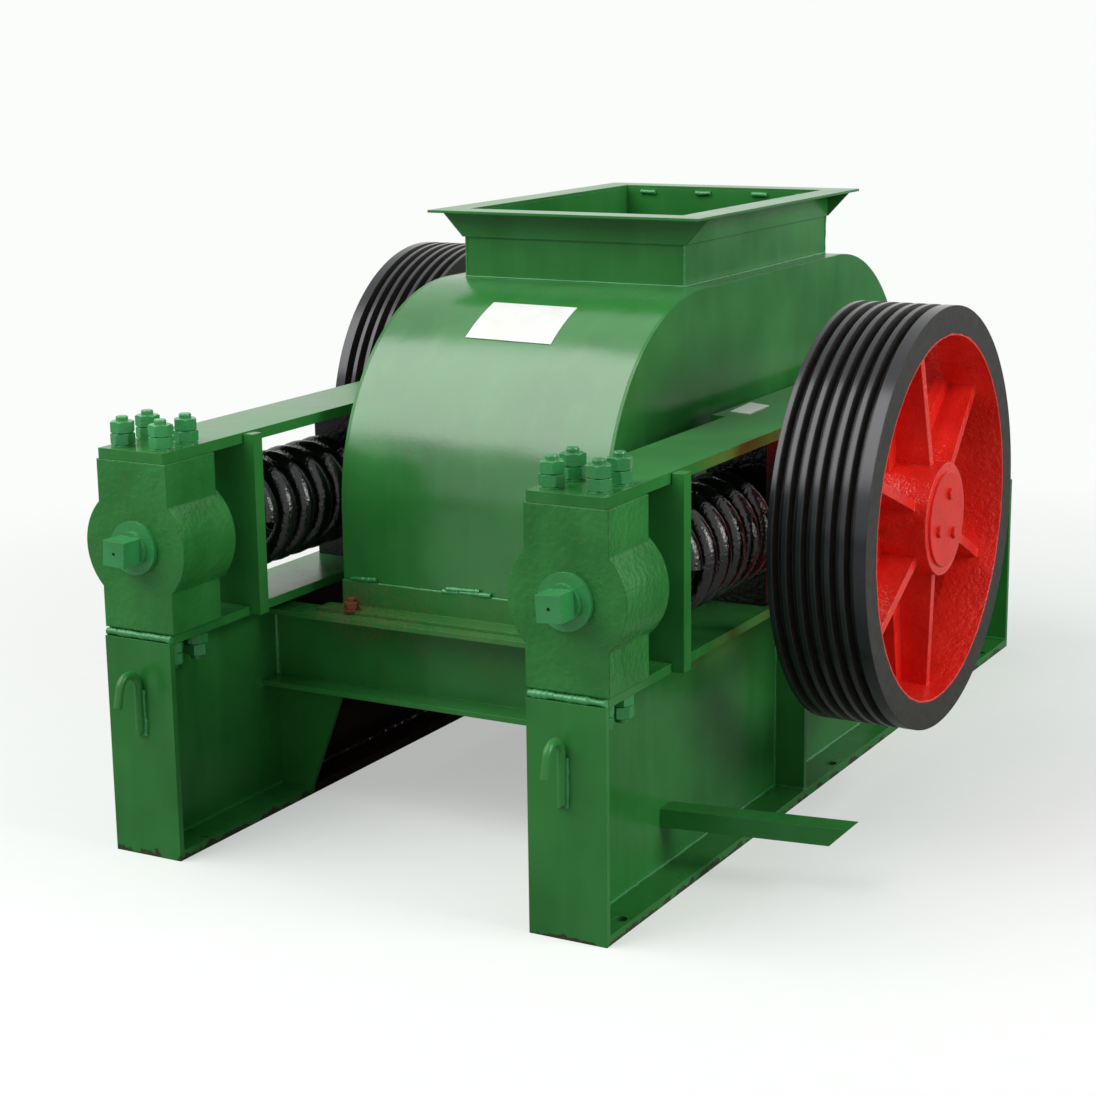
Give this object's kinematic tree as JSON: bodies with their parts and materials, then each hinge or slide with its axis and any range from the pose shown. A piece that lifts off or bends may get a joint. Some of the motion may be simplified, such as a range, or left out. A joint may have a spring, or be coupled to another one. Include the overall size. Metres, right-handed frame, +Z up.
{
  "type": "double toothed roller crusher",
  "caption": "Rock crusher with two toothed rollers in a rounded housing on a girder frame, belt pulleys either side, sprung front roller and square feed hopper.",
  "frame": {"origin": "ground level, midway between the outermost anchor holes of the two girders", "axes": "+X to the machine's right seen from the sprung front roller's end, +Y from that end to the rear, +Z up"},
  "size_m": [1.508, 2.0606, 1.071],
  "materials": {
    "green_paint": "gloss enamel over plate",
    "black_paint": "gloss enamel",
    "red_paint": "gloss enamel",
    "roller_steel": "cast manganese steel",
    "shaft_steel": "turned",
    "housing_iron": "casting under black enamel"
  },
  "bodies": {
    "frame": {"girder_left": "green_paint", "girder_right": "green_paint", "front_plate_left": "green_paint", "front_plate_right": "green_paint", "rear_plate_left": "green_paint", "rear_plate_right": "green_paint", "crossbeam_front": "green_paint", "crossbeam_rear": "green_paint", "tension_block_left": "green_paint", "tension_block_right": "green_paint", "adjusting_screw_left": "green_paint", "adjusting_screw_right": "green_paint", "spring_seat_left": "green_paint", "spring_seat_right": "green_paint", "spring_left": "black_paint", "spring_right": "black_paint", "top_plate_left": "green_paint", "top_plate_right": "green_paint", "fixed_bearing_left": "housing_iron", "fixed_bearing_right": "housing_iron", "housing_front": "green_paint", "housing_top": "green_paint", "housing_rear": "green_paint", "housing_side_left": "green_paint", "housing_side_right": "green_paint", "housing_skirt_left": "green_paint", "housing_skirt_right": "green_paint", "base_angle_front": "green_paint", "base_angle_rear": "green_paint", "hopper_box": "green_paint", "hopper_rim": "green_paint", "lifting_hook_left": "green_paint", "lifting_hook_right": "green_paint", "guard_bar": "green_paint"},
    "front_carriage": {"sliding_bearing_left": "housing_iron", "sliding_bearing_right": "housing_iron"},
    "front_roll": {"front_roller": "roller_steel", "front_shaft": "shaft_steel", "pulley_right": "black_paint", "hub_cap_right": "red_paint"},
    "rear_roll": {"rear_roller": "roller_steel", "rear_shaft": "shaft_steel", "pulley_left": "black_paint", "hub_cap_left": "red_paint"}
  },
  "joints": [
    {"name": "front_roller_retreat", "type": "slide", "parent": "frame", "child": "front_carriage", "axis": [0, -1, 0], "range_m": [0, 0.04], "stiffness_N_per_m": 1500000, "springref_m": -0.02, "deforming": ["spring_left", "spring_right"]},
    {"name": "front_roller_turn", "type": "hinge", "parent": "front_carriage", "child": "front_roll", "pos_m": [0, -0.162, 0.556], "axis": [1, 0, 0], "continuous": true},
    {"name": "rear_roller_turn", "type": "hinge", "parent": "frame", "child": "rear_roll", "pos_m": [0, 0.493, 0.556], "axis": [1, 0, 0], "continuous": true}
  ]
}
